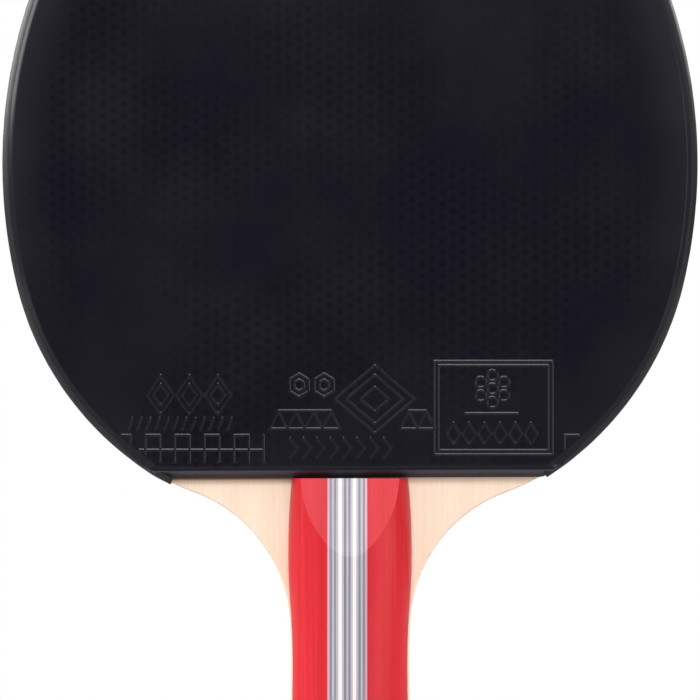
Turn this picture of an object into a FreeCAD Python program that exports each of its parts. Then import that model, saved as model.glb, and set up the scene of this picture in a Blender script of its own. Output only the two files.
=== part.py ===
import FreeCAD, Part

import math
import os

import Sketcher

# A table tennis paddle of the flared, shakehand kind, in millimetres.
#
# Frame: the origin is the middle of the grip, on the blade's mid-plane. +Z runs up the handle to the
# crown of the head, +X is to the right and -Y is the front, which carries the black rubber.
#
# The blade is five plies of wood. A sponge and a top sheet are glued on each face of the head, and a
# handle scale on each face of the tang. A scale is a stack of upright strips glued edge to edge: a
# wide block at each side and seventeen thin veneers between them.

# Driving dimensions. Heights above the rubber are taken from the rubber's straight lower edge, which
# is also the top of the handle; depths are taken down the handle from there.
DIMENSIONS = [
    # head outline
    ("head_half_width", 75.0),
    ("widest_height", 68.2),
    ("crown_height", 156.6),
    ("side_radius", 113.2),
    ("lower_radius", 66.5),
    ("lower_start_height", 42.0),
    ("corner_radius", 46.0),
    ("corner_start_height", 1.7),
    ("wing_radius", 31.3),
    # handle outline, shared by the blade's tang
    ("handle_length", 100.0),
    ("bulge_depth", 16.0),
    ("bulge_radius", 149.0),
    ("waist_depth", 40.0),
    ("waist_half_width", 12.86),
    ("waist_radius", 154.0),
    ("flare_radius", 447.0),
    ("butt_round", 1.0),
    ("wing_edge_round", 0.4),
    # layers, outwards from the middle of the blade
    ("core_thickness", 4.0),
    ("cross_ply_thickness", 0.5),
    ("face_ply_thickness", 0.5),
    ("sponge_thickness", 2.0),
    ("sheet_thickness", 1.8),
    # rubber
    ("fuller_trim_radius", 68.0),
    ("cut_bevel_height", 1.75),
    # edge tape
    ("tape_thickness", 0.4),
    ("tape_width", 12.0),
    ("tape_left_depth", 1.0),
    ("tape_right_height", 0.9),
    # handle scales, a little narrower than the tang between them
    ("scale_step", 0.4),
    ("scale_neck_height", 8.3),
    ("scale_butt_height", 9.3),
    ("scale_side_radius", 7.2),
    ("ramp_start_height", 4.85),
    ("ramp_length", 16.0),
    # strips of a scale
    ("white_veneer", 0.74),
    ("grey_veneer", 0.475),
    ("stripe_start", -4.88),
    ("slab_reach", 20.0),
]

# The veneers of one scale from left to right: white, light grey and dark grey.
VENEERS = "LDLDLWLDLDLWLDLDL"

# How far down the handle each section of a scale lies, on each of the three arcs of its side.
BULGE_SECTIONS = (0.0, 8.0, 16.0, 24.0)
WAIST_SECTIONS = (32.0, 40.0)
FLARE_SECTIONS = (50.0, 60.0, 70.0, 80.0, 90.0, 100.0)

RIGHT, LEFT = 1, -1
START, END, CENTRE = 1, 2, 3
AXIS_Y = -2
NEAR = 1e-3
ORIGIN = (-1, START)

CUT_LEVEL = "Dimensions.handle_length / 2"
BLADE_HALF = (
    "Dimensions.core_thickness / 2 + Dimensions.cross_ply_thickness + Dimensions.face_ply_thickness"
)
RUBBER_FACE = BLADE_HALF + " + Dimensions.sponge_thickness + Dimensions.sheet_thickness"

doc = FreeCAD.newDocument("table_tennis_paddle")
sheet = doc.addObject("Spreadsheet::Sheet", "Dimensions")
for row, (alias, number) in enumerate(DIMENSIONS, start=1):
    sheet.set(f"A{row}", alias)
    sheet.set(f"B{row}", str(number))
    sheet.setAlias(f"B{row}", alias)
doc.recompute()


def value(alias):
    return float(sheet.get(alias))


# ---------------------------------------------------------------- sketch helpers


def new_sketch(body, name, plane, offset=None):
    """An empty sketch on one of the body's own origin planes, moved along the plane's normal."""
    sketch = body.newObject("Sketcher::SketchObject", name)
    support = next(item for item in body.Origin.OriginFeatures if item.Role == plane)
    sketch.AttachmentSupport = [(support, "")]
    sketch.MapMode = "FlatFace"
    if offset is not None:
        sketch.setExpression("AttachmentOffset.Base.z", offset)
    return sketch


def dimension(sketch, expression, kind, *where):
    """A dimension of the sketch whose size is an expression of the spreadsheet."""
    size = abs(sketch.evalExpression(expression))
    index = sketch.addConstraint(Sketcher.Constraint(kind, *where, size))
    sketch.setExpression(f"Constraints[{index}]", expression)


def join(sketch, kind, *where):
    sketch.addConstraint(Sketcher.Constraint(kind, *where))


def point_at(centre, radius, angle):
    return (centre[0] + radius * math.cos(angle), centre[1] + radius * math.sin(angle))


def add_arc(sketch, side, centre, radius, low, high):
    """An arc given on the right of the axis, or its mirror image on the left."""
    if side == LEFT:
        low, high = math.pi - high, math.pi - low
    middle = FreeCAD.Vector(side * centre[0], centre[1], 0)
    circle = Part.Circle(middle, FreeCAD.Vector(0, 0, 1), radius)
    return sketch.addGeometry(Part.ArcOfCircle(circle, low, high))


def add_line(sketch, first, second):
    ends = [FreeCAD.Vector(x, y, 0) for x, y in (first, second)]
    return sketch.addGeometry(Part.LineSegment(*ends))


def add_polygon(sketch, corners):
    """Closed straight lines through the corners, each corner joined to the next line's start."""
    count = len(corners)
    lines = [add_line(sketch, corners[i], corners[(i + 1) % count]) for i in range(count)]
    for i in range(count):
        join(sketch, "Coincident", lines[i], END, lines[(i + 1) % count], START)
    return lines


# ---------------------------------------------------------------- paddle outline


def tangent_chain(grow, lower_radius):
    """Centre, radius and end angles of each arc of the outline's right half, from the crown down.

    Each arc is tangent to the next. The sizes are the spreadsheet's, and grow pushes the head's
    arcs outwards for the tape, which runs round the blade.
    """
    cut = value("handle_length") / 2
    side_radius = value("side_radius")
    side_centre = (value("head_half_width") - side_radius, cut + value("widest_height"))
    rise = value("crown_height") - value("widest_height")
    crown_radius = (side_radius**2 - side_centre[0] ** 2 - rise**2) / (2 * (side_radius - rise))
    crown_centre = (0.0, cut + value("crown_height") - crown_radius)
    shoulder = math.atan2(crown_centre[1] - side_centre[1], -side_centre[0])

    lower_start = -math.asin((value("widest_height") - value("lower_start_height")) / side_radius)
    lower_centre = point_at(side_centre, side_radius - lower_radius, lower_start)
    corner_level = cut + value("corner_start_height")
    corner_start = math.asin((corner_level - lower_centre[1]) / lower_radius)
    corner_radius = value("corner_radius")
    corner_centre = point_at(lower_centre, lower_radius - corner_radius, corner_start)

    waist_radius = value("waist_radius")
    waist_centre = (value("waist_half_width") + waist_radius, cut - value("waist_depth"))
    wing_radius = value("wing_radius")
    wing_centre = two_circle_point(
        corner_centre, corner_radius + wing_radius, waist_centre, waist_radius - wing_radius
    )
    wing_start = direction(wing_centre, corner_centre)
    wing_end = direction(waist_centre, wing_centre)

    flare_radius = value("flare_radius")
    flare_centre = (value("waist_half_width") + flare_radius, waist_centre[1])
    round_radius = value("butt_round")
    round_level = -value("handle_length") / 2 + round_radius
    flare_drop = math.asin((flare_centre[1] - round_level) / (flare_radius + round_radius))
    round_centre = point_at(flare_centre, flare_radius + round_radius, math.pi + flare_drop)
    return {
        "crown": (crown_centre, crown_radius + grow, shoulder, math.pi / 2),
        "side": (side_centre, side_radius + grow, lower_start, shoulder),
        "lower": (lower_centre, lower_radius + grow, corner_start, lower_start),
        "corner": (corner_centre, corner_radius + grow, wing_start - math.pi, corner_start),
        "wing": (wing_centre, wing_radius, wing_start, wing_end),
        "waist": (waist_centre, waist_radius, wing_end, math.pi),
        "flare": (flare_centre, flare_radius, math.pi, math.pi + flare_drop),
        "butt_round": (round_centre, round_radius, -math.pi / 2, flare_drop),
    }


def direction(start, end):
    """Angle of the line from start to end, between 0 and a full turn."""
    return math.atan2(end[1] - start[1], end[0] - start[0]) % (2 * math.pi)


def two_circle_point(first, first_radius, second, second_radius):
    """The lower crossing of two circles whose centres lie side by side."""
    span = math.dist(first, second)
    along = (first_radius**2 - second_radius**2 + span**2) / (2 * span)
    across = math.sqrt(first_radius**2 - along**2)
    unit = ((second[0] - first[0]) / span, (second[1] - first[1]) / span)
    return (
        first[0] + along * unit[0] + across * unit[1],
        first[1] + along * unit[1] - across * unit[0],
    )


def cut_short(arc, level):
    """The arc with its lower end moved to the given height."""
    centre, radius, low, high = arc
    return (centre, radius, math.asin((level - centre[1]) / radius), high)


def draw_head_side(sketch, side, chain, names, grow):
    """One side of the head, crown to rim, as tangent arcs; returns their indices by name."""
    low, high = (START, END) if side == RIGHT else (END, START)
    arcs = {name: add_arc(sketch, side, *chain[name]) for name in names}
    for upper, lower in zip(names, names[1:]):
        join(sketch, "Tangent", arcs[upper], low, arcs[lower], high)
    join(sketch, "PointOnObject", arcs["crown"], CENTRE, AXIS_Y)

    centre, inset = (arcs["side"], CENTRE), "Dimensions.side_radius - Dimensions.head_half_width"
    ordered = (*centre, *ORIGIN) if side == RIGHT else (*ORIGIN, *centre)
    dimension(sketch, inset, "DistanceX", *ordered)
    dimension(sketch, f"{CUT_LEVEL} + Dimensions.widest_height", "DistanceY", *ORIGIN, *centre)
    dimension(sketch, f"Dimensions.side_radius + {grow}", "Radius", arcs["side"])
    # The joint of the side and lower arcs stays on the ungrown outline's normal, so it is set by the
    # lower arc's centre, which growing does not move.
    return arcs


def set_lower_arc(sketch, side, arcs, lower_radius, grow):
    """Radius of the lower arc, and its centre's height on the normal through its upper joint."""
    slope = "(Dimensions.widest_height - Dimensions.lower_start_height) / Dimensions.side_radius"
    height = (
        f"{CUT_LEVEL} + Dimensions.widest_height"
        f" - (Dimensions.side_radius - {lower_radius}) * {slope}"
    )
    dimension(sketch, f"{lower_radius} + {grow}", "Radius", arcs["lower"])
    dimension(sketch, height, "DistanceY", *ORIGIN, arcs["lower"], CENTRE)


def set_corner_arc(sketch, arcs, grow):
    """Radius of the corner arc, and its centre's height on the normal through its upper joint."""
    dimension(sketch, f"Dimensions.corner_radius + {grow}", "Radius", arcs["corner"])
    slope = "(Dimensions.widest_height - Dimensions.lower_start_height) / Dimensions.side_radius"
    lower_centre = (
        "Dimensions.widest_height"
        f" - (Dimensions.side_radius - Dimensions.lower_radius) * {slope}"
    )
    share = "(1 - Dimensions.corner_radius / Dimensions.lower_radius)"
    height = (
        f"{CUT_LEVEL} + {lower_centre}"
        f" + {share} * (Dimensions.corner_start_height - ({lower_centre}))"
    )
    dimension(sketch, height, "DistanceY", *ORIGIN, arcs["corner"], CENTRE)


def close_crown(sketch, right, left, grow):
    """Join the two halves on the axis, at the crown's height."""
    join(sketch, "Coincident", right["crown"], END, left["crown"], START)
    join(sketch, "PointOnObject", right["crown"], END, AXIS_Y)
    top = f"{CUT_LEVEL} + Dimensions.crown_height + {grow}"
    dimension(sketch, top, "DistanceY", *ORIGIN, right["crown"], END)


def blade_outline(sketch):
    """The whole blade: head, wings and the tang that the handle scales are glued to."""
    names = ["crown", "side", "lower", "corner"]
    chain = tangent_chain(0.0, value("lower_radius"))
    halves = {}
    for side in (RIGHT, LEFT):
        low, high = (START, END) if side == RIGHT else (END, START)
        arcs = draw_head_side(sketch, side, chain, names, "0")
        set_lower_arc(sketch, side, arcs, "Dimensions.lower_radius", "0")
        set_corner_arc(sketch, arcs, "0")
        for name in ("wing", "waist", "flare", "butt_round"):
            arcs[name] = add_arc(sketch, side, *chain[name])
        join(sketch, "Tangent", arcs["corner"], low, arcs["wing"], low)
        join(sketch, "Tangent", arcs["wing"], high, arcs["waist"], low)
        join(sketch, "Tangent", arcs["waist"], high, arcs["flare"], low)
        join(sketch, "Tangent", arcs["flare"], high, arcs["butt_round"], high)
        join(sketch, "Horizontal", arcs["waist"], high, arcs["waist"], CENTRE)
        waist_level = f"{CUT_LEVEL} - Dimensions.waist_depth"
        dimension(sketch, waist_level, "DistanceY", *ORIGIN, arcs["waist"], CENTRE)
        waist_end = (arcs["waist"], high)
        ordered = (*ORIGIN, *waist_end) if side == RIGHT else (*waist_end, *ORIGIN)
        dimension(sketch, "Dimensions.waist_half_width", "DistanceX", *ordered)
        for name in ("wing", "waist", "flare"):
            dimension(sketch, f"Dimensions.{name}_radius", "Radius", arcs[name])
        dimension(sketch, "Dimensions.butt_round", "Radius", arcs["butt_round"])
        halves[side] = arcs
    right, left = halves[RIGHT], halves[LEFT]
    close_crown(sketch, right, left, "0")

    centre, radius, low, _ = chain["butt_round"]
    corner = point_at(centre, radius, low)
    butt = add_line(sketch, corner, (-corner[0], corner[1]))
    join(sketch, "Tangent", right["butt_round"], START, butt, START)
    join(sketch, "Tangent", left["butt_round"], END, butt, END)
    join(sketch, "Horizontal", butt)
    dimension(sketch, CUT_LEVEL, "DistanceY", butt, START, *ORIGIN)


def rubber_outline(sketch, fuller=RIGHT):
    """The head above its straight lower edge, with one lower corner trimmed a little fuller."""
    names = ["crown", "side", "lower"]
    cut = value("handle_length") / 2
    halves, corners = {}, {}
    for side in (RIGHT, LEFT):
        radius = "fuller_trim_radius" if side == fuller else "lower_radius"
        chain = tangent_chain(0.0, value(radius))
        chain["lower"] = cut_short(chain["lower"], cut)
        halves[side] = draw_head_side(sketch, side, chain, names, "0")
        set_lower_arc(sketch, side, halves[side], f"Dimensions.{radius}", "0")
        centre, size, low, _ = chain["lower"]
        corners[side] = point_at(centre, size, low)
    right, left = halves[RIGHT], halves[LEFT]
    close_crown(sketch, right, left, "0")
    edge = add_line(sketch, corners[RIGHT], (-corners[LEFT][0], corners[LEFT][1]))
    join(sketch, "Coincident", right["lower"], START, edge, START)
    join(sketch, "Coincident", left["lower"], END, edge, END)
    join(sketch, "Horizontal", edge)
    dimension(sketch, CUT_LEVEL, "DistanceY", *ORIGIN, edge, START)


def tape_outline(sketch):
    """The head with the tape on it, down to the tape's two ends, which lie at different heights."""
    names = ["crown", "side", "lower", "corner"]
    cut = value("handle_length") / 2
    grow = value("tape_thickness")
    levels = {
        RIGHT: (cut + value("tape_right_height"), f"{CUT_LEVEL} + Dimensions.tape_right_height"),
        LEFT: (cut - value("tape_left_depth"), f"{CUT_LEVEL} - Dimensions.tape_left_depth"),
    }
    halves, corners = {}, {}
    for side in (RIGHT, LEFT):
        chain = tangent_chain(grow, value("lower_radius"))
        chain["corner"] = cut_short(chain["corner"], levels[side][0])
        arcs = draw_head_side(sketch, side, chain, names, "Dimensions.tape_thickness")
        set_lower_arc(sketch, side, arcs, "Dimensions.lower_radius", "Dimensions.tape_thickness")
        set_corner_arc(sketch, arcs, "Dimensions.tape_thickness")
        centre, size, low, _ = chain["corner"]
        corners[side] = point_at(centre, size, low)
        halves[side] = arcs
    right, left = halves[RIGHT], halves[LEFT]
    close_crown(sketch, right, left, "Dimensions.tape_thickness")
    across = add_line(sketch, corners[RIGHT], (-corners[LEFT][0], corners[LEFT][1]))
    join(sketch, "Coincident", right["corner"], START, across, START)
    join(sketch, "Coincident", left["corner"], END, across, END)
    dimension(sketch, levels[RIGHT][1], "DistanceY", *ORIGIN, across, START)
    dimension(sketch, levels[LEFT][1], "DistanceY", *ORIGIN, across, END)


# ---------------------------------------------------------------- solid helpers


def new_body(label):
    body = doc.addObject("PartDesign::Body", label)
    body.Label = label
    return body


def turn_to_back(thing):
    """Turn a front piece half a turn about the paddle's axis, to the same place on the back."""
    thing.Placement.Rotation = FreeCAD.Rotation(FreeCAD.Vector(0, 0, 1), 180)


def pad(body, sketch, thickness, symmetric=False):
    feature = body.newObject("PartDesign::Pad", f"{body.Name}_pad")
    feature.Profile = sketch
    feature.SideType = "Symmetric" if symmetric else "One side"
    feature.setExpression("Length", thickness)
    return feature


def pocket(body, sketch, thickness, reach="Symmetric", turned=False):
    """A cut from its sketch, both ways unless reach says otherwise; it has to take material away."""
    before = body.Shape.Volume
    feature = body.newObject("PartDesign::Pocket", f"{sketch.Name}_pocket")
    feature.Profile = sketch
    feature.SideType = reach
    feature.Reversed = turned
    feature.setExpression("Length", thickness)
    doc.recompute()
    assert feature.Shape.Volume < before, f"{feature.Name} cut nothing"
    return feature


def edges_of(shape, wanted):
    """Names of the shape's edges that pass the test."""
    return [f"Edge{number}" for number, edge in enumerate(shape.Edges, start=1) if wanted(edge)]


# ---------------------------------------------------------------- blade


def ply(label, near, thickness):
    """One ply of the blade, from its distance in front of the mid-plane outwards."""
    body = new_body(label)
    sketch = new_sketch(body, f"{label}_outline", "XZ_Plane", near)
    blade_outline(sketch)
    pad(body, sketch, thickness)
    return body


def round_wings(face):
    """Ease the edges of a face ply's two wings, which the fingers rest on."""
    doc.recompute()
    padded = face.Tip
    outer = -sum(value(f"{name}_ply_thickness") for name in ("cross", "face"))
    outer -= value("core_thickness") / 2
    edges = edges_of(padded.Shape, lambda edge: is_wing_edge(edge, outer))
    assert len(edges) == 2, "a face ply has two wing edges"
    eased = face.newObject("PartDesign::Fillet", f"{face.Name}_wing_round")
    eased.Base = (padded, edges)
    eased.setExpression("Radius", "Dimensions.wing_edge_round")


def is_wing_edge(edge, level):
    on_face = abs(edge.BoundBox.YMin - level) < NEAR and abs(edge.BoundBox.YMax - level) < NEAR
    round_edge = isinstance(edge.Curve, Part.Circle)
    return on_face and round_edge and abs(edge.Curve.Radius - value("wing_radius")) < NEAR


def blade():
    core = ply("core_ply", "-Dimensions.core_thickness / 2", "Dimensions.core_thickness")
    plies = [core]
    cross_near = "Dimensions.core_thickness / 2"
    face_near = cross_near + " + Dimensions.cross_ply_thickness"
    for side in ("front", "back"):
        cross = ply(f"{side}_cross_ply", cross_near, "Dimensions.cross_ply_thickness")
        face = ply(f"{side}_face_ply", face_near, "Dimensions.face_ply_thickness")
        round_wings(face)
        plies += [cross, face]
        if side == "back":
            turn_to_back(cross)
            turn_to_back(face)
    return plies


# ---------------------------------------------------------------- rubbers


def bevel_profile(sketch):
    """The wedge that the slanting knife cut takes off a rubber's lower edge, seen from the side."""
    cut = value("handle_length") / 2
    face = -sketch.evalExpression(RUBBER_FACE)
    blade_face = -sketch.evalExpression(BLADE_HALF)
    corners = [(blade_face, cut), (face, cut), (face, cut + value("cut_bevel_height"))]
    lines = add_polygon(sketch, corners)
    join(sketch, "Horizontal", lines[0])
    join(sketch, "Vertical", lines[1])
    dimension(sketch, BLADE_HALF, "DistanceX", lines[0], START, *ORIGIN)
    dimension(sketch, RUBBER_FACE, "DistanceX", lines[1], START, *ORIGIN)
    dimension(sketch, CUT_LEVEL, "DistanceY", *ORIGIN, lines[0], START)
    top = f"{CUT_LEVEL} + Dimensions.cut_bevel_height"
    dimension(sketch, top, "DistanceY", *ORIGIN, lines[2], START)


def rubber_layer(label, near, thickness):
    """A sponge or top sheet: the head's outline, with its lower edge cut at a slant."""
    body = new_body(label)
    sketch = new_sketch(body, f"{label}_outline", "XZ_Plane", near)
    rubber_outline(sketch)
    pad(body, sketch, thickness)
    doc.recompute()
    bevel = new_sketch(body, f"{label}_bevel", "YZ_Plane")
    bevel_profile(bevel)
    pocket(body, bevel, "2 * Dimensions.head_half_width")
    return body


def rubbers():
    layers = []
    sheet_near = BLADE_HALF + " + Dimensions.sponge_thickness"
    for side in ("front", "back"):
        sponge = rubber_layer(f"{side}_sponge", BLADE_HALF, "Dimensions.sponge_thickness")
        top_sheet = rubber_layer(f"{side}_top_sheet", sheet_near, "Dimensions.sheet_thickness")
        layers += [sponge, top_sheet]
        if side == "back":
            turn_to_back(sponge)
            turn_to_back(top_sheet)
    return layers


# ---------------------------------------------------------------- edge tape


def edge_tape():
    """A strip round the head's rim: a taped outline less those of the blade and the rubbers."""
    body = new_body("edge_tape")
    outer = new_sketch(body, "edge_tape_outer", "XZ_Plane")
    tape_outline(outer)
    pad(body, outer, "Dimensions.tape_width", symmetric=True)
    doc.recompute()
    inner = new_sketch(body, "edge_tape_inner", "XZ_Plane")
    blade_outline(inner)
    pocket(body, inner, "2 * Dimensions.tape_width")
    # Each rubber's fuller corner presses into the tape on its own face's right.
    over_front = new_sketch(body, "edge_tape_front_corner", "XZ_Plane", BLADE_HALF)
    rubber_outline(over_front, fuller=RIGHT)
    pocket(body, over_front, "Dimensions.tape_width", reach="One side", turned=True)
    over_back = new_sketch(body, "edge_tape_back_corner", "XZ_Plane", f"-({BLADE_HALF})")
    rubber_outline(over_back, fuller=LEFT)
    pocket(body, over_back, "Dimensions.tape_width", reach="One side")
    return body


# ---------------------------------------------------------------- handle


def scale_half_width(depth):
    """Half a scale's width at a depth below its top, as an expression of the spreadsheet."""
    both = "(Dimensions.waist_radius + Dimensions.bulge_radius)"
    reach = "(Dimensions.waist_depth - Dimensions.bulge_depth)"
    waist = "Dimensions.waist_half_width - Dimensions.scale_step"
    if depth in BULGE_SECTIONS:
        bulge = f"{waist} + {both} - sqrt({both}^2 - {reach}^2)"
        offset = f"({depth} - Dimensions.bulge_depth)"
        radius = "Dimensions.bulge_radius"
        return f"{bulge} - {radius} + sqrt({radius}^2 - {offset}^2)"
    radius = "Dimensions.waist_radius" if depth in WAIST_SECTIONS else "Dimensions.flare_radius"
    offset = f"({depth} - Dimensions.waist_depth)"
    return f"{waist} + {radius} - sqrt({radius}^2 - {offset}^2)"


def dome_section(sketch, half_width, crown):
    """Cross-section of a scale: flat on the blade, upright at the sides and arched across."""
    wide = sketch.evalExpression(half_width)
    tall = sketch.evalExpression(crown)
    base = -sketch.evalExpression(BLADE_HALF)
    small = value("scale_side_radius")
    reach = wide - small
    large = (reach**2 + tall**2 - small**2) / (2 * (tall - small))
    crown_centre = (0.0, base - tall + large)
    side_centre = (reach, base)
    joint = math.atan2(base - crown_centre[1], reach)

    right = add_arc(sketch, RIGHT, side_centre, small, joint, 0.0)
    left = add_arc(sketch, LEFT, side_centre, small, joint, 0.0)
    arch = add_arc(sketch, RIGHT, crown_centre, large, -math.pi - joint, joint)
    floor = add_line(sketch, (wide, base), (-wide, base))
    summit = sketch.addGeometry(Part.Point(FreeCAD.Vector(0, base - tall, 0)), True)

    join(sketch, "Tangent", right, START, arch, END)
    join(sketch, "Tangent", arch, START, left, END)
    join(sketch, "Coincident", right, END, floor, START)
    join(sketch, "Coincident", left, START, floor, END)
    join(sketch, "PointOnObject", right, CENTRE, floor)
    join(sketch, "PointOnObject", left, CENTRE, floor)
    join(sketch, "Symmetric", floor, START, floor, END, AXIS_Y)
    join(sketch, "PointOnObject", summit, START, AXIS_Y)
    join(sketch, "PointOnObject", summit, START, arch)
    dimension(sketch, "Dimensions.scale_side_radius", "Radius", right)
    dimension(sketch, "Dimensions.scale_side_radius", "Radius", left)
    dimension(sketch, f"2 * ({half_width})", "DistanceX", floor, END, floor, START)
    dimension(sketch, BLADE_HALF, "DistanceY", floor, START, *ORIGIN)
    dimension(sketch, f"{BLADE_HALF} + {crown}", "DistanceY", summit, START, *ORIGIN)


def ramp_profile(sketch):
    """The wedge taken off the top of a scale, twice as long as the ramp so that it clears the arch."""
    cut = value("handle_length") / 2
    base = -sketch.evalExpression(BLADE_HALF)
    low_edge = base - value("ramp_start_height")
    rise = value("scale_neck_height") - value("ramp_start_height")
    far = low_edge - 2 * rise
    corners = [(low_edge, cut), (far, cut), (far, cut - 2 * value("ramp_length"))]
    lines = add_polygon(sketch, corners)
    join(sketch, "Horizontal", lines[0])
    join(sketch, "Vertical", lines[1])
    start = f"{BLADE_HALF} + Dimensions.ramp_start_height"
    climb = "2 * (Dimensions.scale_neck_height - Dimensions.ramp_start_height)"
    dimension(sketch, start, "DistanceX", lines[0], START, *ORIGIN)
    dimension(sketch, climb, "DistanceX", lines[0], END, lines[0], START)
    dimension(sketch, CUT_LEVEL, "DistanceY", *ORIGIN, lines[0], START)
    dimension(sketch, "2 * Dimensions.ramp_length", "DistanceY", lines[1], END, lines[1], START)


def scale_blank(side):
    """A whole handle scale before it is divided into strips."""
    body = new_body(f"{side}_scale_blank")
    sections = []
    for depth in BULGE_SECTIONS + WAIST_SECTIONS + FLARE_SECTIONS:
        name = f"{side}_section_{int(depth)}"
        section = new_sketch(body, name, "XY_Plane", f"{CUT_LEVEL} - {depth}")
        growth = "(Dimensions.scale_butt_height - Dimensions.scale_neck_height)"
        crown = f"Dimensions.scale_neck_height + {growth} * {depth} / Dimensions.handle_length"
        dome_section(section, scale_half_width(depth), crown)
        sections.append(section)
    doc.recompute()
    loft = body.newObject("PartDesign::AdditiveLoft", f"{side}_scale_loft")
    loft.Profile = sections[0]
    loft.Sections = sections[1:]
    doc.recompute()

    ramp = new_sketch(body, f"{side}_ramp", "YZ_Plane")
    ramp_profile(ramp)
    ramped = pocket(body, ramp, "4 * Dimensions.slab_reach")

    rounded = body.newObject("PartDesign::Fillet", f"{side}_butt_round")
    rounded.Base = (ramped, edges_of(ramped.Shape, is_outer_butt_edge))
    rounded.setExpression("Radius", "Dimensions.butt_round")
    doc.recompute()
    if side == "back":
        turn_to_back(body)
    return body


def is_outer_butt_edge(edge):
    """True of the butt face's outer edges, all but the straight one against the blade."""
    butt = -value("handle_length") / 2
    box = edge.BoundBox
    at_butt = abs(box.ZMin - butt) < NEAR and abs(box.ZMax - butt) < NEAR
    return at_butt and box.YLength > NEAR


def strip(label, blank, side, start, width):
    """One upright strip of a scale: what the blank and a slab of the given width share."""
    slab = doc.addObject("Part::Box", f"{label}_slab")
    turned = side == "back"
    if turned:
        turn_to_back(slab)
    sign = "-1" if turned else "1"
    slab.setExpression("Placement.Base.x", f"{sign} * ({start})")
    slab.setExpression("Placement.Base.y", f"-{sign} * Dimensions.slab_reach")
    slab.setExpression("Placement.Base.z", "-Dimensions.handle_length")
    slab.setExpression("Length", width)
    slab.setExpression("Width", "Dimensions.slab_reach")
    slab.setExpression("Height", "2 * Dimensions.handle_length")
    piece = doc.addObject("Part::Common", label)
    piece.Label = label
    piece.Base = blank
    piece.Tool = slab
    return piece


def stripe_position(count):
    """Left edge of the veneer that has the given number of veneers to its left."""
    white = VENEERS[:count].count("W")
    grey = count - white
    return (
        f"Dimensions.stripe_start + {white} * Dimensions.white_veneer"
        f" + {grey} * Dimensions.grey_veneer"
    )


def handle_scale(side):
    blank = scale_blank(side)
    left_width = "Dimensions.slab_reach + Dimensions.stripe_start"
    left = strip(f"{side}_left_block", blank, side, "-Dimensions.slab_reach", left_width)
    right_start = stripe_position(len(VENEERS))
    right_width = f"Dimensions.slab_reach - ({right_start})"
    right = strip(f"{side}_right_block", blank, side, right_start, right_width)
    pieces = [left, right]
    for count, kind in enumerate(VENEERS):
        width = "Dimensions.white_veneer" if kind == "W" else "Dimensions.grey_veneer"
        label = f"{side}_veneer_{count + 1:02d}"
        pieces.append(strip(label, blank, side, stripe_position(count), width))
    return pieces


# ---------------------------------------------------------------- assembly

pieces = blade() + rubbers() + [edge_tape()] + handle_scale("front") + handle_scale("back")
doc.recompute()

for item in doc.Objects:
    assert not {"Invalid", "Error"} & set(item.State), f"{item.Name}: {item.State}"
    if item.isDerivedFrom("Sketcher::SketchObject"):
        assert item.FullyConstrained, f"{item.Name} has loose geometry"
for piece in pieces:
    shape = piece.Shape
    assert not shape.isNull() and shape.isValid() and shape.Solids, f"{piece.Label} is unsound"

os.makedirs("parts", exist_ok=True)
for piece in pieces:
    piece.Shape.exportStep(f"parts/{piece.Label}.step")
    box = piece.Shape.BoundBox
    print(
        f"{piece.Label:22s} {piece.Shape.Volume:9.1f} mm3"
        f"  x {box.XMin:7.2f} {box.XMax:7.2f}  y {box.YMin:6.2f} {box.YMax:6.2f}"
        f"  z {box.ZMin:7.2f} {box.ZMax:7.2f}"
    )
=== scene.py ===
"""Looks of the table tennis paddle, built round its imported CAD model.

Everything is in metres in the CAD frame: X to the right, Y to the back, Z up the head.
The wooden parts keep their CAD shapes and get wood materials. The rubber sheets, the
sponges and the edge tape are modelled here, inside the space that their CAD solids hold.
"""
import math

import bpy
import numpy as np
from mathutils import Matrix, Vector, noise
from mathutils.geometry import delaunay_2d_cdt


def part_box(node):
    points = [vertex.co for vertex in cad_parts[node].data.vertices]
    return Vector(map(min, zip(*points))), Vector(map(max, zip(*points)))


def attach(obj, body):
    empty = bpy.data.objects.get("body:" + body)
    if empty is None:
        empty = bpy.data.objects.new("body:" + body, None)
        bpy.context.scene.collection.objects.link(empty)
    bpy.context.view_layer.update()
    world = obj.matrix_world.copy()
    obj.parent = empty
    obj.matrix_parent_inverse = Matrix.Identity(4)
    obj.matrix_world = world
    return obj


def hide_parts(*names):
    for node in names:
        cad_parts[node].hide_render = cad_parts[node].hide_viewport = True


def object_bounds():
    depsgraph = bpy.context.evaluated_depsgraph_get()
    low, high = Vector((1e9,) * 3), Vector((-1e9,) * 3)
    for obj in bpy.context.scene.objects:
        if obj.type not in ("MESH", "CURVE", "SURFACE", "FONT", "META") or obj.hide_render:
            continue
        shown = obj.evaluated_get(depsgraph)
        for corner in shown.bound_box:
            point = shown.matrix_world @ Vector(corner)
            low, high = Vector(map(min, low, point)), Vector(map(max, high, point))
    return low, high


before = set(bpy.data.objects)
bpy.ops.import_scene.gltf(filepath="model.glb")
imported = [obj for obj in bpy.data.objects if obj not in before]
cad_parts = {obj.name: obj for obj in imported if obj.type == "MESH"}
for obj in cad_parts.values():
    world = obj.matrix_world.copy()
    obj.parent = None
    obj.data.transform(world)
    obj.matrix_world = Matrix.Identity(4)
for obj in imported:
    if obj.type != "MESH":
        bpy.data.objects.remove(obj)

CAD_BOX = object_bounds()
MM = 0.001

# A paddle face is worked out in face coordinates: across, up and depth, as its viewer
# sees them. The front faces -Y and the back faces +Y, a half turn about Z away.
FRONT = -1
BACK = 1

# The sheets were laid on by hand, so their straight cut above the handle isn't quite level.
CUT_TILT = 0.004                # how much it rises to its viewer's right
CUT_PIVOT = -17 * MM            # the place across the face where it is at its true height

# ---------------------------------------------------------------- shader building


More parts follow.
